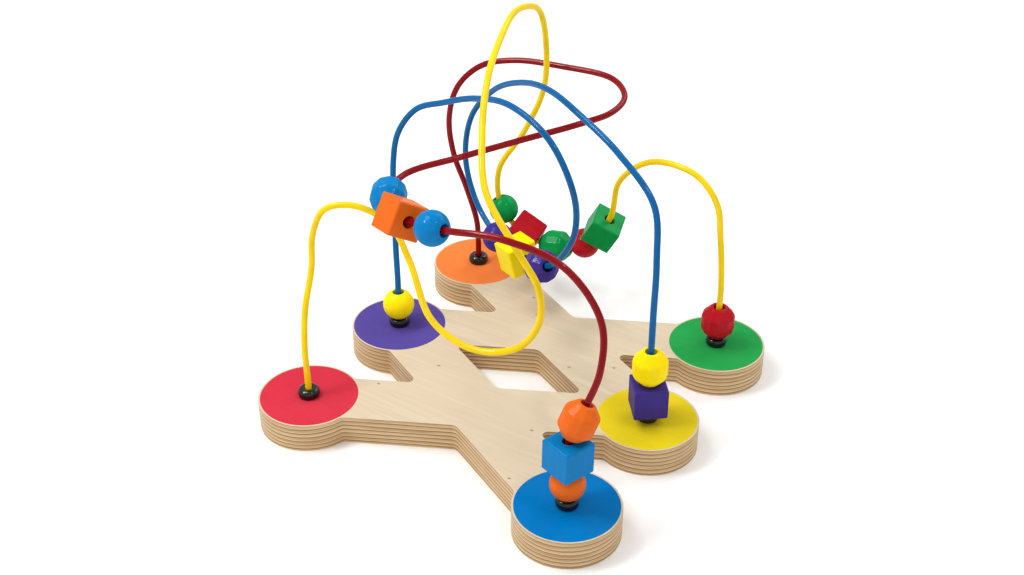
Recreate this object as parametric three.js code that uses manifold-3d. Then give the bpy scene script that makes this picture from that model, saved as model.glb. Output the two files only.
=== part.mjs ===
// Bead maze toy: three bent wires, each carrying six wooden beads, stand on a
// flat plywood base whose arms end in six round painted pads.
//
// Frame: millimetres, +Z up. The origin is on the floor under the middle of the
// base. X runs from the red pad to the blue pad, Y from the red pad to the
// orange pad.

import * as THREE from "three";
import { mergeVertices } from "three/addons/utils/BufferGeometryUtils.js";
import Module from "manifold-3d";

const wasm = await Module();
wasm.setup();

// Base board
const BOARD_T = 23;
const PITCH = 114; // pad spacing along X (to the middle) and along Y
const PAD_R = 38.5; // round end of an arm
const ARM_HALF = 24.3;
const CROTCH_R = 7.5; // wide inside corners between arms
const NOTCH_R = 4; // router radius in the narrow corners
const NECK_R = 4; // where an arm meets its pad

// Fixings under each pad
const BORE_R = 4.8; // takes the shank of the collar
const COUNTERBORE_R = 11;
const COUNTERBORE_H = 9;
const WASHER_R = 8;
const WASHER_T = 1.5;
const NUT_AF = 10; // across flats
const NUT_H = 4;

// Painted discs and collars
const DISC_R = 37;
const DISC_T = 0.25;
const DISC_TOP = BOARD_T + DISC_T;
const COLLAR_R = 8.25;
const COLLAR_H = 7;
const SHANK_R = 4.5;
const SHANK_H = 9;

// Wires
const WIRE_R = 2.4;
const WIRE_FIT_R = 2.7; // holes that a wire passes through
const WIRE_END_Z = 2;
const WIRE_STRAIGHT_Z = 48; // the legs stand upright to here
const WIRE_SIDES = 8;
const WIRE_STEP = 8;

// Beads
const BALL_R = 12.5;
const CUBE = 25;
const CUBE_EDGE = 1; // eased edges
const FACETED_R = 13.25; // over the corners of the middle band
const FACETED_H = 27.5;
const FACETED_BAND_H = 13;
const FACETED_END_R = 6.6;
const FACETS = 12;
const HOLE_R = 4.4;
const HOLE_EASE = 0.6;
const BEAD_GAP = 0.35; // between touching beads
const TILT_ROOM = 2.7; // above a level face, under the bead that leans
const HANG = 0.4; // how far a bead hangs below the middle of its wire
const SEAT = 0.38; // a bead lies along the chord this part of its length to each side

const PADS = {
  red: [-PITCH, -PITCH],
  purple: [-PITCH, 0],
  orange: [-PITCH, PITCH],
  blue: [PITCH, -PITCH],
  yellow: [PITCH, 0],
  green: [PITCH, PITCH],
};

const PAINT = {
  red: "#d02038",
  purple: "#503a9c",
  orange: "#f07428",
  blue: "#0478c0",
  yellow: "#f0cc10",
  green: "#0c8a44",
};

const group = new THREE.Group();

function material(color, roughness, metalness = 0) {
  return new THREE.MeshStandardMaterial({ color, roughness, metalness });
}

function addPiece(name, geometry, mat, position = [0, 0, 0]) {
  const mesh = new THREE.Mesh(geometry, mat);
  mesh.name = name;
  mesh.position.set(...position);
  group.add(mesh);
  return mesh;
}

// Boolean helpers

function toSolid(geometry) {
  const bare = new THREE.BufferGeometry();
  bare.setAttribute("position", geometry.getAttribute("position").clone());
  if (geometry.index) {
    bare.setIndex(geometry.index.clone());
  }
  const merged = mergeVertices(bare, 1e-4);
  return new wasm.Manifold(new wasm.Mesh({
    numProp: 3,
    vertProperties: new Float32Array(merged.getAttribute("position").array),
    triVerts: new Uint32Array(merged.index.array),
  }));
}

function toGeometry(solid) {
  const mesh = solid.getMesh();
  const geometry = new THREE.BufferGeometry();
  geometry.setAttribute("position", new THREE.BufferAttribute(mesh.vertProperties, 3));
  geometry.setIndex(new THREE.BufferAttribute(mesh.triVerts, 1));
  geometry.computeVertexNormals();
  return geometry;
}

// A cylinder along Z from z0 to z1
function post(radius, z0, z1, sides) {
  const geometry = new THREE.CylinderGeometry(radius, radius, z1 - z0, sides);
  geometry.rotateX(Math.PI / 2);
  geometry.translate(0, 0, (z0 + z1) / 2);
  return geometry;
}

// A closed ring of the given section, [radius, z] pairs, turned about Z
function turned(section, sides) {
  const points = section.map(([r, z]) => new THREE.Vector2(r, z));
  points.push(points[0].clone());
  const geometry = new THREE.LatheGeometry(points, sides);
  geometry.rotateX(Math.PI / 2);
  return geometry;
}

// Points along an arc, ends included
function arcPoints(cx, cy, radius, from, to, count) {
  const points = [];
  for (let i = 0; i <= count; i++) {
    const a = from + ((to - from) * i) / count;
    points.push([cx + radius * Math.cos(a), cy + radius * Math.sin(a)]);
  }
  return points;
}

// Base board: one quarter of the outline, from the middle of the +Y edge to the
// middle of the +X edge. Every arm runs from a hub at (0, PITCH / 2) to a pad.
const ARM_ANGLE = Math.atan2(PITCH / 2, PITCH);
const ARM_LIFT = ARM_HALF / Math.cos(ARM_ANGLE);

// The outline round one pad. The arm leaves the pad centre in direction `arm`.
// `near` and `far` say which necks to include.
function padOutline(cx, cy, arm, near, far) {
  const reach = PAD_R + NECK_R;
  const out = ARM_HALF + NECK_R;
  const along = Math.sqrt(reach * reach - out * out);
  const open = Math.atan2(out, along);
  const place = (a, b) => [
    cx + a * Math.cos(arm) - b * Math.sin(arm),
    cy + a * Math.sin(arm) + b * Math.cos(arm),
  ];
  const neck = (side) => {
    const points = [];
    const [nx, ny] = place(along, side * out);
    for (let i = 0; i <= 3; i++) {
      const turn = (Math.PI / 2 - open) * (i / 3);
      const a = arm - side * (Math.PI / 2 + turn);
      points.push([nx + NECK_R * Math.cos(a), ny + NECK_R * Math.sin(a)]);
    }
    return points;
  };
  const round = arcPoints(cx, cy, PAD_R, arm - open, arm + open - 2 * Math.PI, 30);
  return [
    ...(near ? neck(-1) : []),
    ...round.slice(near ? 1 : 0, far ? -1 : undefined),
    ...(far ? neck(1).reverse() : []),
  ];
}

function crotch(cy, side) {
  // half of the wide inside corner on the Y axis, from the axis outwards
  const centre = cy + (side * CROTCH_R) / Math.cos(ARM_ANGLE);
  const points = [];
  for (let i = 0; i <= 3; i++) {
    const a = (ARM_ANGLE * i) / 3;
    points.push([CROTCH_R * Math.sin(a), centre - side * CROTCH_R * Math.cos(a)]);
  }
  return points;
}

function notch(tip, cy, from, to, count) {
  const centre = tip + NOTCH_R / Math.sin(ARM_ANGLE);
  return arcPoints(centre, cy, NOTCH_R, from, to, count);
}

function mirrored(quarter) {
  const half = [...quarter, ...quarter.map(([x, y]) => [x, -y]).reverse()];
  const whole = [...half, ...half.map(([x, y]) => [-x, y]).reverse()];
  return whole.filter(([x, y], i) => {
    const [px, py] = whole[(i + whole.length - 1) % whole.length];
    return Math.hypot(x - px, y - py) > 0.01;
  });
}

function boardOutline() {
  const hub = PITCH / 2;
  const tangent = Math.PI / 2 + ARM_ANGLE;
  const corner = padOutline(PITCH, PITCH, Math.PI + ARM_ANGLE, true, true);
  const side = padOutline(PITCH, 0, Math.PI - ARM_ANGLE, true, false);
  const sideQuarter = side.filter(([, y]) => y > 0.5);
  return mirrored([
    ...crotch(hub + ARM_LIFT, 1),
    ...corner,
    ...notch(2 * ARM_LIFT, hub, tangent, 2 * Math.PI - tangent, 6),
    ...sideQuarter,
    [PITCH + PAD_R, 0],
  ]);
}

function windowOutline() {
  const tip = 2 * (PITCH / 2 - ARM_LIFT);
  const centre = tip - NOTCH_R / Math.sin(ARM_ANGLE);
  return mirrored([
    ...crotch(tip / 2, -1),
    ...arcPoints(centre, 0, NOTCH_R, Math.PI / 2 - ARM_ANGLE, 0, 3),
  ]);
}

function pathOf(points, Type) {
  const path = new Type();
  path.setFromPoints(points.map(([x, y]) => new THREE.Vector2(x, y)));
  return path;
}

const outline = pathOf(boardOutline(), THREE.Shape);
outline.holes.push(pathOf(windowOutline().reverse(), THREE.Path)); // against the outline
let board = toSolid(new THREE.ExtrudeGeometry(outline, { depth: BOARD_T, bevelEnabled: false }));
for (const [x, y] of Object.values(PADS)) {
  const bore = post(BORE_R, -1, BOARD_T + 1, 16);
  const counterbore = post(COUNTERBORE_R, -1, COUNTERBORE_H, 24);
  board = board
    .subtract(toSolid(bore.translate(x, y, 0)))
    .subtract(toSolid(counterbore.translate(x, y, 0)));
}
addPiece("base_board", toGeometry(board), material("#e2cfa6", 0.55));

// Painted discs, collars, washers and nuts

const discSection = [
  [COLLAR_R - 1.5, 0],
  [DISC_R, 0],
  [DISC_R, DISC_T],
  [COLLAR_R - 1.5, DISC_T],
];

const collarSection = [
  [WIRE_FIT_R, -SHANK_H],
  [SHANK_R, -SHANK_H],
  [SHANK_R, 0],
  [COLLAR_R, 0],
  [COLLAR_R, 2.2],
  [COLLAR_R - 0.7, 4.4],
  [COLLAR_R - 2.2, 6.4],
  [COLLAR_R - 3.8, COLLAR_H],
  [WIRE_FIT_R + 0.9, COLLAR_H],
  [WIRE_FIT_R, COLLAR_H - 1.6],
];

const washerSection = [
  [WIRE_FIT_R, 0],
  [WASHER_R, 0],
  [WASHER_R, WASHER_T],
  [WIRE_FIT_R, WASHER_T],
];

function nutGeometry() {
  const blank = toSolid(post(NUT_AF / Math.sqrt(3), 0, NUT_H, 6));
  return toGeometry(blank.subtract(toSolid(post(WIRE_FIT_R, -1, NUT_H + 1, 12))));
}

for (const [name, [x, y]] of Object.entries(PADS)) {
  const paint = material(PAINT[name], 0.5);
  addPiece(`${name}_disc`, turned(discSection, 48), paint, [x, y, BOARD_T]);
  addPiece(`${name}_collar`, turned(collarSection, 20), material("#0b0b0c", 0.25), [x, y, DISC_TOP]);
  const washerZ = COUNTERBORE_H - WASHER_T;
  addPiece(`${name}_washer`, turned(washerSection, 20), material("#a8a8a6", 0.4, 0.9), [x, y, washerZ]);
  addPiece(`${name}_nut`, nutGeometry(), material("#8c8c8a", 0.4, 0.9), [x, y, washerZ - NUT_H]);
}

// Wires: each one is bent through these points, from its first pad to its last

const BENDS = {
  yellow: ["red", "green", [
    [-116, -112, 62], [-122, -101, 90], [-124, -88, 118], [-123, -84, 147],
    [-109, -83, 172],
    [-90, -73, 175], [-65, -66, 164], [-43, -74, 145], [-9, -96, 120],
    [29, -100, 112], [60, -93, 121], [73, -87, 142], [71, -84, 166],
    [55, -84, 190], [24, -75, 221], [5, -51, 247], [-14, -16, 269],
    [-30, 25, 282], [-45, 69, 284], [-51, 108, 270], [-56, 127, 238],
    [-61, 133, 193], [-79, 132, 150], [-102, 129, 109], [-100, 130, 74],
    [-80, 133, 53], [-51, 137, 47], [-20, 140, 60], [1, 138, 91],
    [14, 128, 134], [46, 121, 163], [85, 116, 165], [105, 113, 148],
    [112, 109, 124], [115, 112, 78],
  ]],
  blue: ["purple", "yellow", [
    [-116, 3, 62], [-125, 14, 89], [-135, 28, 114], [-144, 40, 140],
    [-144, 48, 166], [-129, 53, 189], [-102, 53, 202], [-68, 46, 217],
    [-24, 29, 229], [18, 15, 218], [40, 11, 185], [38, 18, 150],
    [16, 33, 111], [-17, 57, 81], [-45, 71, 74], [-79, 90, 72],
    [-110, 106, 88], [-126, 115, 119],
    [-121, 117, 158], [-95, 112, 191], [-58, 96, 213], [-20, 74, 225],
    [20, 52, 224], [61, 37, 211], [97, 25, 186], [108, 12, 152],
    [112, 4, 112], [114, 0, 84],
  ]],
  red: ["orange", "blue", [
    [-116, 115, 63], [-126, 115, 92], [-138, 115, 120], [-144, 118, 150],
    [-139, 124, 178], [-121, 132, 198], [-93, 139, 207], [-51, 144, 210], [-5, 142, 212], [18, 122, 210],
    [21, 97, 208], [9, 72, 206], [-23, 41, 197], [-55, 9, 188],
    [-75, -32, 187], [-68, -64, 186], [-42, -87, 189], [2, -97, 197],
    [47, -94, 203], [91, -87, 193], [120, -87, 162], [126, -96, 130],
    [120, -106, 101], [114, -114, 76],
  ]],
};

const WIRE_PAINT = { yellow: "#f2c416", blue: "#0a5fa0", red: "#a01420" };

function wireCurve(from, to, bends) {
  const leg = ([x, y]) => [WIRE_END_Z, 18, WIRE_STRAIGHT_Z].map((z) => new THREE.Vector3(x, y, z));
  const points = [
    ...leg(PADS[from]),
    ...bends.map(([x, y, z]) => new THREE.Vector3(x, y, z)),
    ...leg(PADS[to]).reverse(),
  ];
  const curve = new THREE.CatmullRomCurve3(points, false, "centripetal");
  curve.arcLengthDivisions = 2000;
  return curve;
}

function wireGeometry(curve) {
  const section = new THREE.Shape();
  section.setFromPoints(arcPoints(0, 0, WIRE_R, 0, 2 * Math.PI, WIRE_SIDES)
    .slice(0, WIRE_SIDES)
    .map(([x, y]) => new THREE.Vector2(x, y)));
  const steps = Math.round(curve.getLength() / WIRE_STEP);
  return new THREE.ExtrudeGeometry(section, { steps, extrudePath: curve });
}

const wires = {};
for (const [name, [from, to, bends]] of Object.entries(BENDS)) {
  wires[name] = wireCurve(from, to, bends);
  addPiece(`${name}_wire`, wireGeometry(wires[name]), material(WIRE_PAINT[name], 0.35));
}

// Beads, each turned or cut about its own Z axis with its centre at the origin

function ballGeometry() {
  const section = [];
  const hole = Math.acos((HOLE_R + HOLE_EASE) / BALL_R);
  for (let i = 0; i <= 12; i++) {
    const a = -hole + (2 * hole * i) / 12;
    section.push([BALL_R * Math.cos(a), BALL_R * Math.sin(a)]);
  }
  const rim = BALL_R * Math.sin(hole) - HOLE_EASE;
  section.push([HOLE_R, rim], [HOLE_R, -rim]);
  return turned(section, 20);
}

function cubeGeometry() {
  const half = CUBE / 2 - CUBE_EDGE;
  const square = new THREE.Shape();
  square.setFromPoints([[-half, -half], [half, -half], [half, half], [-half, half]]
    .map(([x, y]) => new THREE.Vector2(x, y)));
  const blank = toSolid(new THREE.ExtrudeGeometry(square, {
    depth: CUBE - 2 * CUBE_EDGE,
    bevelThickness: CUBE_EDGE,
    bevelSize: CUBE_EDGE,
    bevelSegments: 1,
  }).translate(0, 0, CUBE_EDGE - CUBE / 2));
  return toGeometry(blank.subtract(toSolid(post(HOLE_R, -CUBE, CUBE, 20))));
}

function facetedGeometry() {
  return turned([
    [HOLE_R, -FACETED_H / 2],
    [FACETED_END_R, -FACETED_H / 2],
    [FACETED_R, -FACETED_BAND_H / 2],
    [FACETED_R, FACETED_BAND_H / 2],
    [FACETED_END_R, FACETED_H / 2],
    [HOLE_R, FACETED_H / 2],
  ], FACETS);
}

// Form: its geometry and its length along the wire
const BALL_END = Math.sqrt(BALL_R * BALL_R - (HOLE_R + HOLE_EASE) ** 2);
const BEADS = {
  ball: [ballGeometry, 2 * BALL_END],
  cube: [cubeGeometry, CUBE],
  faceted: [facetedGeometry, FACETED_H],
};

// [wire, colour, form, distance along the wire to the bead's middle, turn about
// the wire in degrees]. Beads that stand on a collar are measured from the far
// end of the wire when the distance is negative.
const ON_COLLAR = DISC_TOP + COLLAR_H + BEAD_GAP - WIRE_END_Z;
const STACK = ON_COLLAR + 2 * BALL_END + BEAD_GAP; // top of a ball on a collar
const PLACES = [
  ["yellow", "green", "ball", 944, 0],
  ["yellow", "red", "cube", 973, 27],
  ["yellow", "green", "faceted", 1003, 0],
  ["yellow", "red", "ball", 1032, 0],
  ["yellow", "green", "cube", 1059, 27],
  ["yellow", "red", "faceted", -(ON_COLLAR + FACETED_H / 2), 0],
  ["blue", "yellow", "ball", ON_COLLAR + BALL_END, 0],
  ["blue", "purple", "faceted", 540, 0],
  ["blue", "yellow", "cube", 580, -10],
  ["blue", "purple", "ball", 615, 0],
  ["blue", "yellow", "faceted", -(ON_COLLAR + CUBE + BEAD_GAP + FACETED_H / 2), 0],
  ["blue", "purple", "cube", -(ON_COLLAR + CUBE / 2), 51],
  ["red", "blue", "faceted", 587, 0],
  ["red", "orange", "cube", 625, -31],
  ["red", "blue", "ball", 660, 0],
  ["red", "orange", "faceted", -(STACK + CUBE + TILT_ROOM + FACETED_H / 2), 0],
  ["red", "blue", "cube", -(STACK + CUBE / 2), 18],
  ["red", "orange", "ball", -(ON_COLLAR + BALL_END), 0],
];

const UP = new THREE.Vector3(0, 0, 1);

for (const [wire, color, form, distance, turn] of PLACES) {
  const [geometry, beadLength] = BEADS[form];
  const curve = wires[wire];
  const length = curve.getLength();
  const middle = distance < 0 ? length + distance : distance;
  const before = curve.getPointAt((middle - SEAT * beadLength) / length);
  const after = curve.getPointAt((middle + SEAT * beadLength) / length);
  const along = after.clone().sub(before).normalize();
  const level = Math.abs(along.z) > 0.995
    ? new THREE.Vector3(1, 0, 0)
    : new THREE.Vector3().crossVectors(UP, along);
  const across = new THREE.Vector3().crossVectors(along, level).normalize();
  level.crossVectors(across, along);
  const mesh = addPiece(`${color}_${form}`, geometry(), material(PAINT[color], 0.35));
  mesh.quaternion.setFromRotationMatrix(new THREE.Matrix4().makeBasis(level, across, along));
  mesh.rotateZ((turn * Math.PI) / 180);
  mesh.position.addVectors(before, after).divideScalar(2);
  mesh.position.addScaledVector(across, -HANG * Math.hypot(along.x, along.y));
}

export default group;
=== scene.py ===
"""Wire bead maze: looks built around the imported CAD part. Metres, +Z up."""

import math

import bmesh
import bpy
import numpy as np
from mathutils import Matrix, Vector


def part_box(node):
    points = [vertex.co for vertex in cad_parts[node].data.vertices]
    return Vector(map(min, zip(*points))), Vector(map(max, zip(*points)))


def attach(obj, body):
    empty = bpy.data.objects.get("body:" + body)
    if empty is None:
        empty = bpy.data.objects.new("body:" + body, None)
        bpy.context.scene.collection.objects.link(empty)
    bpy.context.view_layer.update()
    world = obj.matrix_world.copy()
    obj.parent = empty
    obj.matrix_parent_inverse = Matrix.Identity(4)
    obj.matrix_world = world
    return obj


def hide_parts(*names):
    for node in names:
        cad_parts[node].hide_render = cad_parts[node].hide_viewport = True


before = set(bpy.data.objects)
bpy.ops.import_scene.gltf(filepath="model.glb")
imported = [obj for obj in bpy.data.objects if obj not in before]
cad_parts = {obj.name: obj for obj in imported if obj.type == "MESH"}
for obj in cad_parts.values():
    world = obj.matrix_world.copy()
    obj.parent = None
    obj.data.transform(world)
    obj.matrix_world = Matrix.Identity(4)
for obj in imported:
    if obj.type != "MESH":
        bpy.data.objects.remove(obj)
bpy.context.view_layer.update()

MM = 0.001
PAINTS = ("red", "purple", "orange", "blue", "yellow", "green")
WIRES = ("yellow", "blue", "red")
BEADS = [
    node
    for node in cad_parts
    if node.rsplit("_", 1)[1] in ("ball", "cube", "faceted")
]


# Materials ------------------------------------------------------------------


def linear(color):
    """sRGB 0 to 255 to linear RGBA."""
    out = []
    for channel in color:
        c = channel / 255
        out.append(c / 12.92 if c <= 0.04045 else ((c + 0.055) / 1.055) ** 2.4)
    return (*out, 1.0)


class Shader:
    """One Principled material and short ways to add nodes to it."""

    def __init__(self, name, **sockets):
        self.material = bpy.data.materials.new(name)
        self.material.use_nodes = True
        self.tree = self.material.node_tree
        self.bsdf = self.tree.nodes["Principled BSDF"]
        for socket, value in sockets.items():
            self.bsdf.inputs[socket.replace("_", " ")].default_value = value

    def node(self, kind, **values):
        """A new node; each value goes to the socket or the property of that name."""
        new = self.tree.nodes.new("ShaderNode" + kind)
        for key, value in values.items():
            if key in new.inputs:
                self.put(new.inputs[key], value)
            else:
                setattr(new, key, value)
        return new

    def put(self, socket, value):
        if isinstance(value, bpy.types.NodeSocket):
            self.tree.links.new(value, socket)
        else:
            socket.default_value = value

    def position(self, scale=(1, 1, 1), turn=(0, 0, 0)):
        """Object position in mm, scaled."""
        place = self.node("TexCoord").outputs["Object"]
        spread = tuple(1000 * s for s in scale)
        mapped = self.node("Mapping", Vector=place, Rotation=turn, Scale=spread)
        return mapped.outputs[0]

    def local(self, scale=(1, 1, 1)):
        """Position in the bead's own axes in mm, scaled."""
        own = self.node("Attribute", attribute_name="local").outputs["Vector"]
        return self.node("Mapping", Vector=own, Scale=scale).outputs[0]

    def noise(self, vector, scale=1.0, detail=3.0, roughness=0.5, distortion=0.0):
        new = self.node("TexNoise", Vector=vector, Scale=scale, Detail=detail)
        new.inputs["Roughness"].default_value = roughness
        new.inputs["Distortion"].default_value = distortion
        return new.outputs["Fac"]

    def ramp(self, value, *stops):
        new = self.node("ValToRGB", Fac=value)
        points = new.color_ramp.elements
        while len(points) < len(stops):
            points.new(0.5)
        for point, (at, color) in zip(points, stops):
            point.position = at
            point.color = color if len(color) == 4 else linear(color)
        return new.outputs["Color"]

    def spread(self, value, low, high, to_low, to_high):
        new = self.node("MapRange", Value=value)
        for key, number in zip(
            ("From Min", "From Max", "To Min", "To Max"), (low, high, to_low, to_high)
        ):
            new.inputs[key].default_value = number
        return new.outputs["Result"]

    def math(self, operation, a, b=0.0):
        new = self.node("Math", operation=operation)
        self.put(new.inputs[0], a)
        self.put(new.inputs[1], b)
        return new.outputs[0]

    def mix(self, factor, a, b, blend="MIX"):
        new = self.node("Mix", data_type="RGBA", blend_type=blend)
        self.put(new.inputs[0], factor)
        self.put(new.inputs[6], a)
        self.put(new.inputs[7], b)
        return new.outputs[2]

    def bump(self, height, distance, strength=1.0, normal=None):
        new = self.node("Bump", Height=height, Distance=distance, Strength=strength)
        if normal is not None:
            self.put(new.inputs["Normal"], normal)
        return new.outputs["Normal"]

    def set(self, **sockets):
        for socket, value in sockets.items():
            self.put(self.bsdf.inputs[socket.replace("_", " ")], value)
        return self.material


def plywood(top_z):
    """Clear-lacquered birch ply: veneer faces, thirteen plies on the edges."""
    s = Shader("plywood", Coat_Weight=0.08, Coat_Roughness=0.3, Specular_IOR_Level=0.3)
    plies = 13
    # veneer: fine fibres, soft figure and a few pin knots, grain near X
    fibre = s.noise(s.position((0.035, 1.3, 0.2), (0, 0, -0.2)), 1, 4, 0.6, 0.2)
    band = s.noise(s.position((0.006, 0.085, 0.02), (0, 0, -0.2)), 1, 3, 0.5, 1.2)
    cloud = s.noise(s.position((0.012, 0.02, 0.02)), 1, 2)
    face = s.ramp(
        band,
        (0.3, (215, 199, 172)),
        (0.5, (209, 190, 161)),
        (0.7, (219, 205, 180)),
    )
    dark_fibre = s.spread(fibre, 0.4, 0.75, 0.0, 0.2)
    face = s.mix(dark_fibre, face, linear((190, 162, 122)))
    face = s.mix(s.spread(cloud, 0.3, 0.8, 0.0, 0.3), face, linear((222, 208, 184)))
    spots = s.position((0.022, 0.034, 0.0), (0, 0, -0.2))
    cells = s.node("TexVoronoi", Vector=spots, Scale=1.0, voronoi_dimensions="2D")
    some = s.node("SeparateColor", Color=cells.outputs["Color"]).outputs[0]
    knot = s.spread(cells.outputs["Distance"], 0.015, 0.045, 0.75, 0.0)
    knot = s.math("MULTIPLY", knot, s.math("GREATER_THAN", some, 0.62))
    face = s.mix(knot, face, linear((132, 92, 54)))
    # edge: alternate plies show long grain and end grain, with thin glue lines
    height = s.node("SeparateXYZ", Vector=s.node("TexCoord").outputs["Object"])
    wander = s.noise(s.position((0.012, 0.012, 0.14)), 1, 2)
    level = s.math("MULTIPLY", height.outputs["Z"], plies / top_z)
    level = s.math("ADD", level, s.spread(wander, 0.2, 0.8, -0.32, 0.32))
    pair = s.math("FRACT", s.math("MULTIPLY", level, 0.5))
    dark_ply = s.spread(s.math("ABSOLUTE", s.math("SUBTRACT", pair, 0.5)), 0.1, 0.17, 1, 0)
    # thin pale line at one seam of each ply pair: partly a pale glue line, partly a painted
    # lacquer highlight
    seam_painted_glint = s.math("ABSOLUTE", s.math("SUBTRACT", pair, 0.78))
    streak = s.noise(s.position((0.05, 0.05, 2.2)), 1, 4, 0.6)
    pore = s.noise(s.position((1.4, 1.4, 2.6)), 1, 2, 0.7)
    tone = s.noise(s.position((0.016, 0.016, 0.42)), 1, 2)
    long_grain = s.ramp(
        streak, (0.3, (194, 161, 114)), (0.52, (214, 185, 140)), (0.75, (180, 144, 96))
    )
    end_grain = s.ramp(
        streak, (0.3, (142, 104, 62)), (0.55, (156, 118, 74)), (0.75, (120, 86, 50))
    )
    end_grain = s.mix(
        s.spread(pore, 0.5, 0.75, 0.0, 0.35), end_grain, linear((132, 96, 60))
    )
    edge = s.mix(dark_ply, long_grain, end_grain)
    edge = s.mix(s.spread(tone, 0.45, 0.68, 0.0, 0.75), edge, linear((172, 132, 82)))
    # paints the pale seam line, partly glue and partly a painted lacquer highlight, onto
    # the edge
    edge = s.mix(s.spread(seam_painted_glint, 0.02, 0.06, 0.85, 0.0), edge, linear((240, 221, 188)))
    glue = s.math("ABSOLUTE", s.math("SUBTRACT", pair, 0.27))
    edge = s.mix(s.spread(glue, 0.0, 0.03, 0.6, 0.0), edge, linear((104, 70, 40)))
    normal = s.node("SeparateXYZ", Vector=s.node("NewGeometry").outputs["Normal"])
    flat = s.spread(s.math("ABSOLUTE", normal.outputs["Z"]), 0.75, 0.95, 0.0, 1.0)
    color = s.mix(flat, edge, face)
    rough = s.spread(fibre, 0.3, 0.7, 0.42, 0.55)
    relief = s.bump(fibre, 0.00006, 0.5)
    relief = s.bump(dark_ply, 0.00005, 0.5, relief)
    relief = s.bump(streak, 0.00008, 0.4, relief)
    return s.set(Base_Color=color, Roughness=rough, Normal=relief)


def disc_paint(name, color):
    """Satin screen-printed paint with the veneer's grain just showing."""
    s = Shader(name, Coat_Weight=0.08, Coat_Roughness=0.14, Specular_IOR_Level=0.0)
    fibre = s.noise(s.position((0.04, 1.3, 0.2), (0, 0, -0.2)), 1, 4, 0.6, 0.2)
    cloud = s.noise(s.position((0.03, 0.03, 0.03)), 1, 3)
    peel = s.noise(s.position((0.9, 0.9, 0.9)), 1, 2)
    base = linear(color)
    deep = tuple(0.8 * c for c in base[:3]) + (1.0,)
    pale = tuple(min(1.0, 1.1 * c + 0.012) for c in base[:3]) + (1.0,)
    paint = s.mix(s.spread(fibre, 0.35, 0.75, 0.0, 0.45), base, deep)
    paint = s.mix(s.spread(cloud, 0.35, 0.75, 0.0, 0.45), paint, pale)
    relief = s.bump(fibre, 0.00005, 0.45)
    relief = s.bump(peel, 0.00004, 0.3, relief)
    rough = s.spread(cloud, 0.3, 0.7, 0.34, 0.44)
    return s.set(Base_Color=paint, Roughness=rough, Normal=relief)


def lacquer(name, color):
    """Glossy dyed lacquer on turned hardwood: grain under it, faint orange peel."""
    s = Shader(name, Coat_Weight=0.22, Coat_Roughness=0.1, Specular_IOR_Level=0.0)
    grain = s.noise(s.local((0.9, 0.9, 0.07)), 1, 4, 0.6, 0.3)
    rings = s.noise(s.local((0.22, 0.22, 0.03)), 1, 3, 0.5, 0.8)
    pores = s.noise(s.local((3.0, 3.0, 0.35)), 1, 2, 0.7)
    peel = s.noise(s.local((0.7, 0.7, 0.7)), 1, 2)
    base = linear(color)
    deep = tuple(0.72 * c for c in base[:3]) + (1.0,)
    pale = tuple(min(1.0, 1.16 * c + 0.015) for c in base[:3]) + (1.0,)
    paint = s.mix(s.spread(grain, 0.4, 0.75, 0.0, 0.08), base, deep)
    paint = s.mix(s.spread(rings, 0.4, 0.7, 0.0, 0.2), paint, pale)
    paint = s.mix(s.spread(pores, 0.62, 0.75, 0.0, 0.1), paint, deep)
    relief = s.bump(grain, 0.00003, 0.15)
    relief = s.bump(peel, 0.00008, 0.25, relief)
    rough = s.spread(rings, 0.3, 0.7, 0.24, 0.34)
    return s.set(Base_Color=paint, Roughness=rough, Normal=relief)


def coated_wire(name, color, bare_z):
    """Dipped vinyl-like coating with slow waves; bare zinc at the screw ends."""
    s = Shader(name, Coat_Weight=0.42, Coat_Roughness=0.12, Specular_IOR_Level=0.0)
    wave = s.noise(s.position((0.06, 0.06, 0.06)), 1, 2)
    fine = s.noise(s.position((0.8, 0.8, 0.8)), 1, 3)
    rub = s.noise(s.position((0.25, 0.25, 1.6)), 1, 4, 0.7)
    base = linear(color)
    deep = tuple(0.82 * c for c in base[:3]) + (1.0,)
    pale = tuple(min(1.0, 1.12 * c + 0.01) for c in base[:3]) + (1.0,)
    paint = s.mix(s.spread(wave, 0.35, 0.7, 0.0, 0.7), base, deep)
    paint = s.mix(s.spread(rub, 0.6, 0.8, 0.0, 0.25), paint, pale)
    height = s.node("SeparateXYZ", Vector=s.node("TexCoord").outputs["Object"])
    bare = s.math("LESS_THAN", height.outputs["Z"], bare_z)
    zinc = s.ramp(fine, (0.3, (150, 150, 146)), (0.7, (196, 196, 190)))
    color = s.mix(bare, paint, zinc)
    rough = s.math("ADD", s.spread(rub, 0.3, 0.7, 0.2, 0.34), s.math("MULTIPLY", bare, 0.1))
    relief = s.bump(wave, 0.0002, 0.4)
    relief = s.bump(fine, 0.00002, 0.2, relief)
    return s.set(Base_Color=color, Roughness=rough, Metallic=bare, Normal=relief)


def black_collar():
    s = Shader("black_collar", Coat_Weight=0.7, Coat_Roughness=0.05, Specular_IOR_Level=0.2)
    grain = s.noise(s.position((0.7, 0.7, 0.12)), 1, 4, 0.6)
    dust = s.noise(s.position((0.3, 0.3, 0.3)), 1, 3)
    paint = s.ramp(grain, (0.35, (2, 2, 3)), (0.7, (8, 8, 8)))
    relief = s.bump(grain, 0.00012, 0.4)
    rough = s.spread(dust, 0.3, 0.7, 0.18, 0.34)
    return s.set(Base_Color=paint, Roughness=rough, Normal=relief)


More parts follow.
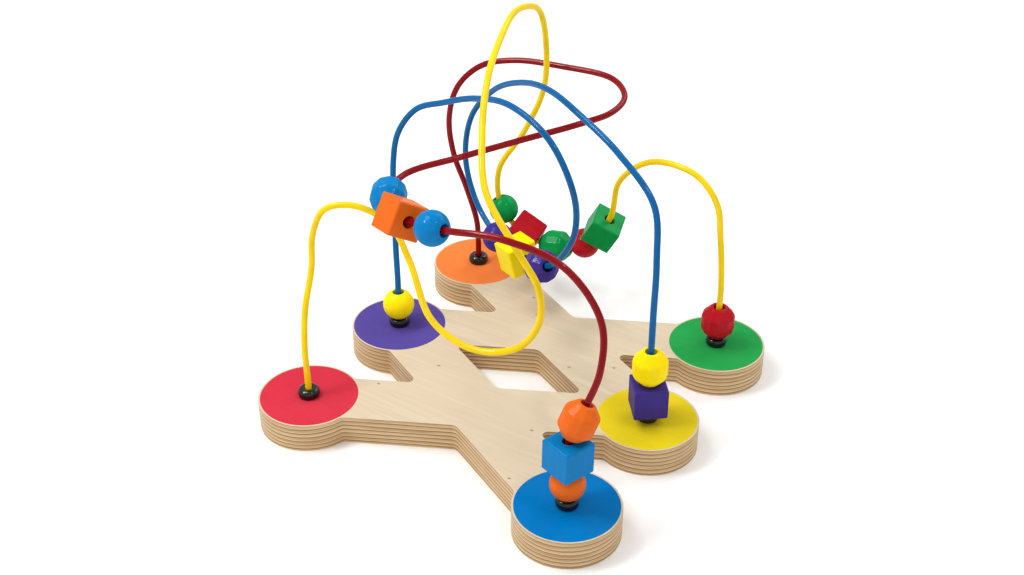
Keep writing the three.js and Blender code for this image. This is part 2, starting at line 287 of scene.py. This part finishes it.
def zinc_steel():
    s = Shader("zinc_steel", Metallic=1.0)
    mottled = s.node("TexVoronoi", Vector=s.position((0.5, 0.5, 0.5)), Scale=1.0)
    brushed = s.noise(s.position((1.2, 1.2, 6.0)), 1, 3)
    stain = s.noise(s.position((0.15, 0.15, 0.15)), 1, 3)
    metal = s.ramp(
        mottled.outputs["Distance"], (0.1, (172, 174, 172)), (0.7, (206, 206, 200))
    )
    metal = s.mix(s.spread(stain, 0.5, 0.8, 0.0, 0.5), metal, linear((158, 150, 132)))
    rough = s.spread(brushed, 0.3, 0.7, 0.26, 0.44)
    return s.set(Base_Color=metal, Roughness=rough, Normal=s.bump(brushed, 0.00004, 0.4))


def paper_floor():
    s = Shader("floor", Roughness=0.75)
    mottle = s.noise(s.position((0.004, 0.004, 0.004)), 1, 3)
    fibre = s.noise(s.position((0.6, 0.6, 0.6)), 1, 3)
    tone = s.ramp(mottle, (0.3, (250, 250, 250)), (0.7, (253, 253, 253)))
    return s.set(Base_Color=tone, Normal=s.bump(fibre, 0.00003, 0.2))


# Mesh helpers ---------------------------------------------------------------


def welded(node):
    """A bmesh copy of a CAD node in the part's frame, its doubled vertices merged."""
    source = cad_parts[node]
    mesh = bmesh.new()
    mesh.from_mesh(source.data)
    mesh.transform(source.matrix_world)
    bmesh.ops.remove_doubles(mesh, verts=mesh.verts, dist=2e-6)
    return mesh


def soften(mesh, width, angle, segments=2):
    """Merges coplanar faces and rounds every edge sharper than the angle."""
    bmesh.ops.dissolve_limit(
        mesh, angle_limit=math.radians(1), verts=mesh.verts, edges=mesh.edges
    )
    sharp = [
        e
        for e in mesh.edges
        if len(e.link_faces) == 2 and e.calc_face_angle(0) > math.radians(angle)
    ]
    bmesh.ops.bevel(
        mesh,
        geom=sharp,
        offset=width,
        segments=segments,
        profile=0.5,
        affect="EDGES",
        clamp_overlap=True,
    )


def piece(name, mesh, material, body, nodes, smooth=35):
    """Turns a bmesh into a shown piece that stands for CAD nodes."""
    bmesh.ops.recalc_face_normals(mesh, faces=mesh.faces)
    data = bpy.data.meshes.new(name)
    mesh.to_mesh(data)
    mesh.free()
    data.polygons.foreach_set("use_smooth", [True] * len(data.polygons))
    data.set_sharp_from_angle(angle=math.radians(smooth))
    data.materials.append(material)
    obj = bpy.data.objects.new(name, data)
    bpy.context.collection.objects.link(obj)
    weigh = obj.modifiers.new("weigh", "WEIGHTED_NORMAL")
    weigh.keep_sharp = True
    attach(obj, body)
    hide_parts(*nodes)
    return obj


def lathe(profile, sides, radius=lambda r, z, turn: r):
    """A closed profile of (radius, height) turned round Z."""
    mesh = bmesh.new()
    rings = []
    for r, z in profile:
        ring = []
        for i in range(sides):
            turn = 2 * math.pi * i / sides
            rr = radius(r, z, turn)
            ring.append(mesh.verts.new((rr * math.cos(turn), rr * math.sin(turn), z)))
        rings.append(ring)
    for a, b in zip(rings, rings[1:] + rings[:1]):
        for i in range(sides):
            j = (i + 1) % sides
            mesh.faces.new((a[i], a[j], b[j], b[i]))
    return mesh


def own_axis(node):
    """Centre and axis of a body that is round about one axis."""
    mesh = welded(node)
    area = np.array([f.calc_area() for f in mesh.faces])
    mid = np.array([f.calc_center_median() for f in mesh.faces])
    mesh.free()
    centre = (mid * area[:, None]).sum(0) / area.sum()
    away = mid - centre
    values, vectors = np.linalg.eigh((away * area[:, None]).T @ away)
    gap = [abs(values[0] - values[1]), abs(values[2] - values[1])]
    axis = Vector(vectors[:, 2 if gap[1] > gap[0] else 0])
    return Vector(centre), axis if axis.z >= 0 else -axis


def add_local(obj, centre, turn):
    """Keeps each vertex's place in the bead's own axes, in mm."""
    data = obj.data
    own = data.attributes.new("local", "FLOAT_VECTOR", "POINT")
    back = turn.transposed()
    shift = Vector((hash_of(obj.name), hash_of(obj.name[::-1]), 0)) * 40
    places = [tuple(back @ (v.co - centre) * 1000 + shift) for v in data.vertices]
    own.data.foreach_set("vector", np.array(places, np.float32).ravel())


def hash_of(text):
    """A fixed number from 0 to 1 that shifts the grain from bead to bead."""
    return sum((i + 3) * ord(c) for i, c in enumerate(text)) % 97 / 97


def centre_line(node):
    """Ring centres of a swept CAD wire, from one end to the other."""
    mesh = welded(node)
    foot = min(v.co.z for v in mesh.verts) + 0.1 * MM
    ring = [v for v in mesh.verts if v.co.z < foot and v.co.x < 0]
    seen = set(ring)
    centres = []
    while ring:
        centres.append(sum((v.co for v in ring), Vector()) / len(ring))
        ahead = []
        for vert in ring:
            for edge in vert.link_edges:
                other = edge.other_vert(vert)
                if other not in seen:
                    seen.add(other)
                    ahead.append(other)
        ring = ahead
    mesh.free()
    return centres


def resample(points, step):
    """Smooth curve through the points at an even step."""
    dense = []
    count = len(points)
    for i in range(count - 1):
        p0 = points[max(i - 1, 0)]
        p1, p2 = points[i], points[i + 1]
        p3 = points[min(i + 2, count - 1)]
        for k in range(12):
            t = k / 12
            dense.append(
                0.5
                * (
                    2 * p1
                    + (p2 - p0) * t
                    + (2 * p0 - 5 * p1 + 4 * p2 - p3) * t * t
                    + (3 * p1 - p0 - 3 * p2 + p3) * t**3
                )
            )
    dense.append(points[-1])
    table = np.array([tuple(p) for p in dense])
    along = np.r_[0, np.cumsum(np.linalg.norm(np.diff(table, axis=0), axis=1))]
    total = along[-1]
    at = step(total)
    line = np.stack([np.interp(at, along, table[:, k]) for k in range(3)], 1)
    return line, at, total


def sweep(line, at, total, radius, sides):
    """A tube along the line; radius(distance, turn, total) gives its skin."""
    tangent = np.gradient(line, at, axis=0)
    tangent /= np.linalg.norm(tangent, axis=1)[:, None]
    side = np.cross(tangent[0], (0.0, 1.0, 0.0))
    mesh = bmesh.new()
    rings = []
    for place, along, distance in zip(line, tangent, at):
        side = side - along * (side @ along)
        side /= np.linalg.norm(side)
        over = np.cross(along, side)
        ring = []
        for i in range(sides):
            turn = 2 * math.pi * i / sides
            r = radius(distance, turn, total)
            ring.append(
                mesh.verts.new(place + r * (math.cos(turn) * side + math.sin(turn) * over))
            )
        rings.append(ring)
    for a, b in zip(rings, rings[1:]):
        for i in range(sides):
            j = (i + 1) % sides
            mesh.faces.new((a[i], a[j], b[j], b[i]))
    mesh.faces.new(rings[0][::-1])
    mesh.faces.new(rings[-1])
    return mesh


# Base board -----------------------------------------------------------------

board_low, board_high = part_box("base_board")
board = welded("base_board")
soften(board, 0.7 * MM, 40, 3)
piece("board", board, plywood(board_high.z), "frame", ["base_board"], 30)


# Pads: paint, collar, washer and nut ----------------------------------------

DISC_COLORS = {
    "red": (204, 50, 68),
    "purple": (84, 70, 150),
    "orange": (236, 126, 60),
    "blue": (0, 114, 184),
    "yellow": (224, 200, 30),
    "green": (38, 158, 76),
}
SCREW_R = 2.75 * MM  # the hole of the collar and of the nut
collar_black = black_collar()
steel = zinc_steel()


def disc(name):
    low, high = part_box(f"{name}_disc")
    centre = (low + high) / 2
    edge = (high.x - low.x) / 2
    thick = high.z - low.z
    hole = 4.6 * MM
    skin = [
        (hole, 0),
        (hole, thick),
        (edge * 0.5, thick),
        (edge - 0.5 * MM, thick),
        (edge - 0.12 * MM, thick * 0.8),
        (edge, thick * 0.25),
        (edge, 0),
    ]
    mesh = lathe(skin, 160)
    mesh.transform(Matrix.Translation((centre.x, centre.y, low.z)))
    paint = disc_paint(f"{name}_disc_paint", DISC_COLORS[name])
    piece(f"{name}_pad", mesh, paint, "frame", [f"{name}_disc"], 40)


def collar(name):
    low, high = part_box(f"{name}_collar")
    centre = (low + high) / 2
    top_of_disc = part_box(f"{name}_disc")[1].z
    r = (high.x - low.x) / 2
    h = high.z - top_of_disc
    shank = low.z - top_of_disc
    skin = [
        (SCREW_R, shank),
        (4.4 * MM, shank),
        (4.4 * MM, 0.02 * MM),
        (r * 0.86, 0.02 * MM),
        (r * 0.95, h * 0.06),
        (r * 0.99, h * 0.17),
        (r, h * 0.3),
        (r, h * 0.5),
        (r * 0.985, h * 0.66),
        (r * 0.93, h * 0.8),
        (r * 0.84, h * 0.91),
        (r * 0.72, h * 0.975),
        (r * 0.58, h),
        (r * 0.45, h * 0.985),
        (r * 0.37, h * 0.94),
        (SCREW_R, h * 0.86),
    ]
    mesh = lathe(skin, 72)
    mesh.transform(Matrix.Translation((centre.x, centre.y, top_of_disc)))
    piece(
        f"{name}_stop", mesh, collar_black, "frame",
        [f"{name}_collar"], 50,
    )


def washer(name):
    low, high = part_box(f"{name}_washer")
    centre = (low + high) / 2
    r = (high.x - low.x) / 2
    t = high.z - low.z
    skin = [
        (2.8 * MM, 0.2 * MM),
        (3.0 * MM, 0),
        (r - 0.3 * MM, 0),
        (r, 0.25 * MM),
        (r, t - 0.25 * MM),
        (r - 0.3 * MM, t),
        (3.0 * MM, t),
        (2.8 * MM, t - 0.2 * MM),
    ]
    mesh = lathe(skin, 64)
    mesh.transform(Matrix.Translation((centre.x, centre.y, low.z)))
    piece(
        f"{name}_flat_washer", mesh, steel, "frame", [f"{name}_washer"], 35
    )


def nut(name):
    low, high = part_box(f"{name}_nut")
    centre = (low + high) / 2
    wide, narrow = high.x - low.x, high.y - low.y
    flats = min(wide, narrow) / 2
    first = 0 if wide > narrow else math.pi / 6
    t = high.z - low.z

    def hexagon(r, z, turn):
        if r < 3.5 * MM:
            return r
        step = (turn - first) % (math.pi / 3) - math.pi / 6
        return min(r, flats / math.cos(step))

    corner = max(wide, narrow) / 2
    skin = [(SCREW_R, 0.3 * MM), (3.2 * MM, 0), (flats * 0.97, 0)]
    skin += [(corner, 0.7 * MM), (corner, t - 0.7 * MM), (flats * 0.97, t)]
    skin += [(3.2 * MM, t)]
    for k in range(8):
        z = t - (0.35 + k * (t / MM - 0.7) / 8) * MM
        skin += [(2.72 * MM, z), (2.95 * MM, z - 0.2 * MM)]
    mesh = lathe(skin, 96, hexagon)
    mesh.transform(Matrix.Translation((centre.x, centre.y, low.z)))
    piece(f"{name}_hex_nut", mesh, steel, "frame", [f"{name}_nut"], 30)


for paint_name in PAINTS:
    disc(paint_name)
    collar(paint_name)
    washer(paint_name)
    nut(paint_name)


# Wires ----------------------------------------------------------------------

WIRE_COLORS = {"yellow": (250, 212, 8), "blue": (0, 96, 158), "red": (138, 2, 14)}
WIRE_R = 2.4 * MM
THREAD_LENGTH = 8 * MM
THREAD_PITCH = 0.8 * MM


def wire_steps(total):
    ends = np.arange(0, THREAD_LENGTH, 0.16 * MM)
    middle = np.arange(THREAD_LENGTH, total - THREAD_LENGTH, 1.6 * MM)
    return np.r_[ends, middle, total - ends[::-1]]


def wire_skin(distance, turn, total):
    near = min(distance, total - distance)
    if near >= THREAD_LENGTH:
        return WIRE_R
    cut = min(1.0, (THREAD_LENGTH - near) / MM)
    tooth = abs((distance / THREAD_PITCH + turn / (2 * math.pi)) % 1 * 2 - 1)
    chamfer = 0.5 * MM * max(0.0, 1 - near / (0.5 * MM))
    return WIRE_R - 0.36 * MM * cut * tooth - chamfer


for color_name in WIRES:
    centres = centre_line(f"{color_name}_wire")
    line, at, total = resample(centres, wire_steps)
    tube = sweep(line, at, total, wire_skin, 28)
    coating = coated_wire(
        f"{color_name}_wire_coating", WIRE_COLORS[color_name], board_low.z + 10 * MM
    )
    piece(
        f"{color_name}_rod", tube, coating, "frame",
        [f"{color_name}_wire"], 60,
    )


# Beads ----------------------------------------------------------------------

BEAD_COLORS = {
    "red": (178, 20, 34),
    "purple": (62, 46, 134),
    "orange": (226, 102, 26),
    "blue": (0, 120, 184),
    "yellow": (255, 226, 4),
    "green": (0, 146, 71),
}
lacquers = {n: lacquer(f"{n}_lacquer_coat", BEAD_COLORS[n]) for n in PAINTS}


BORE_R = 4.4 * MM
BORE_EASE = 0.9 * MM
BALL_R = 12.5 * MM


def ball(node):
    """A round bead with an eased mouth at each end of its bore."""
    centre, axis = own_axis(node)
    low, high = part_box(node)
    r = (high.z - low.z) / 2 if axis.z < 0.5 else (high.x - low.x) / 2
    r = min(r, BALL_R)
    mouth = math.acos((BORE_R + BORE_EASE) / r)
    skin = []
    for i in range(41):
        a = -mouth + 2 * mouth * i / 40
        skin.append((r * math.cos(a), r * math.sin(a)))
    rim = r * math.sin(mouth)
    lip = [
        (BORE_R + BORE_EASE * 0.55, rim - BORE_EASE * 0.02),
        (BORE_R + BORE_EASE * 0.2, rim - BORE_EASE * 0.3),
        (BORE_R, rim - BORE_EASE * 0.9),
    ]
    skin += lip + [(x, -z) for x, z in lip[::-1]]
    mesh = lathe(skin, 80)
    turn = Vector((0, 0, 1)).rotation_difference(axis).to_matrix()
    mesh.transform(Matrix.Translation(centre) @ turn.to_4x4())
    return mesh, centre, turn, 60


FACETS = 12
FACETED_R = 13.25 * MM
FACETED_HALF = 13.75 * MM
BAND_HALF = 6.5 * MM
END_R = 6.6 * MM
FACET_CUT = 0.011  # how far the corners are rounded back, as a share of the radius
FACET_SHARPNESS = 260


def faceted(node):
    """A twelve-sided bead whose lacquer has rounded off its facets."""
    centre, axis = own_axis(node)
    corners = [(BORE_R, FACETED_HALF), (END_R, FACETED_HALF), (FACETED_R, BAND_HALF)]
    corners += [(r, -z) for r, z in corners[::-1]]
    reach = (0.3, 1.2, 2.2, 2.2, 1.2, 0.3)
    skin = []
    for k, (r, z) in enumerate(corners):
        here = Vector((r, z))
        before = (Vector(corners[k - 1]) - here).normalized() * reach[k] * MM
        after = (Vector(corners[(k + 1) % 6]) - here).normalized() * reach[k] * MM
        for i in range(7):
            t = i / 6
            skin.append(tuple(here + before * (1 - t) ** 2 + after * t * t))
    half = math.pi / FACETS

    def flat(r, z, turn):
        if r < BORE_R + 0.25 * MM:
            return r
        off = (turn % (2 * half)) - half
        side = math.cos(half) / math.cos(off)
        corner = 1 - FACET_CUT
        blend = math.exp(-side * FACET_SHARPNESS) + math.exp(-corner * FACET_SHARPNESS)
        return r * -math.log(blend) / FACET_SHARPNESS

    mesh = lathe(skin, 144, flat)
    turn = Vector((0, 0, 1)).rotation_difference(axis).to_matrix()
    mesh.transform(Matrix.Translation(centre) @ turn.to_4x4())
    return mesh, centre, turn, 60


def cube(node):
    """The CAD cube with its edges rounded, and its axes from its three widest faces."""
    low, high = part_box(node)
    centre = (low + high) / 2
    mesh = welded(node)
    normal = {}
    for face in mesh.faces:
        key = tuple(round(c, 1) for c in face.normal)
        normal[key] = normal.get(key, 0) + face.calc_area()
    biggest = sorted(normal, key=normal.get, reverse=True)[:6]
    x = Vector(biggest[0]).normalized()
    y = min((Vector(k) for k in biggest), key=lambda k: abs(k @ x)).normalized()
    y = (y - x * (y @ x)).normalized()
    turn = Matrix((x, y, x.cross(y))).transposed()
    soften(mesh, 0.45 * MM, 25, 3)
    return mesh, centre, turn, 30


SHAPES = {"ball": ball, "cube": cube, "faceted": faceted}

for node in BEADS:
    mesh, centre, turn, smooth = SHAPES[node.rsplit("_", 1)[1]](node)
    color_name = node.split("_")[0]
    bead = piece(
        f"{node}_bead", mesh, lacquers[color_name], node,
        [node], smooth,
    )
    add_local(bead, centre, turn)


# Stage ----------------------------------------------------------------------

bpy.ops.mesh.primitive_plane_add(size=12, location=(0, 0, 0))
floor = bpy.context.object
floor.name = "floor"
floor.data.materials.append(paper_floor())


AIM = Vector((0, 0, 0.1))


def softbox(name, place, size, power):
    """A soft rectangular lamp that looks at the middle of the part."""
    lamp = bpy.data.lights.new(name, "AREA")
    lamp.shape = "RECTANGLE"
    lamp.size, lamp.size_y = size
    lamp.energy = power
    obj = bpy.data.objects.new(name, lamp)
    obj.location = place
    look = AIM - Vector(place)
    obj.rotation_euler = look.to_track_quat("-Z", "Y").to_euler()
    bpy.context.collection.objects.link(obj)


softbox("key", (-0.7, -0.2, 1.5), (0.8, 0.55), 10.5)
softbox("back", (0.3, 1.3, 1.2), (1.4, 0.8), 8)
softbox("fill", (0.9, -1.2, 0.8), (1.0, 0.8), 1.0)
softbox("glint", (-0.75, -0.75, 1.35), (0.4, 0.14), 7.5)
softbox("glint_right", (0.75, -0.1, 1.5), (0.3, 0.12), 2.5)

world = bpy.data.worlds.new("studio")
world.use_nodes = True
sky = world.node_tree.nodes["Background"]
sky.inputs["Color"].default_value = (1, 1, 1, 1)
sky.inputs["Strength"].default_value = 0.6
bpy.context.scene.world = world

# Camera: above the front edge and to its right
AZIMUTH, ELEVATION, ROLL = math.radians(33.17), math.radians(32.98), math.radians(-0.18)
EYE_PLACE = Vector((0.4884, -0.7548, 0.6812))
back = Vector(
    (
        math.sin(AZIMUTH) * math.cos(ELEVATION),
        -math.cos(AZIMUTH) * math.cos(ELEVATION),
        math.sin(ELEVATION),
    )
)
camera = bpy.data.cameras.new("camera")
camera.sensor_width = 36
camera.lens = 50.4
camera.clip_end = 50
eye = bpy.data.objects.new("camera", camera)
right = Vector((math.cos(AZIMUTH), math.sin(AZIMUTH), 0))
up = back.cross(right)
turn = Matrix((right, up, back)).transposed() @ Matrix.Rotation(ROLL, 3, "Z")
eye.matrix_world = Matrix.Translation(EYE_PLACE) @ turn.to_4x4()
bpy.context.collection.objects.link(eye)
bpy.context.scene.camera = eye
bpy.context.scene.view_settings.view_transform = "Standard"
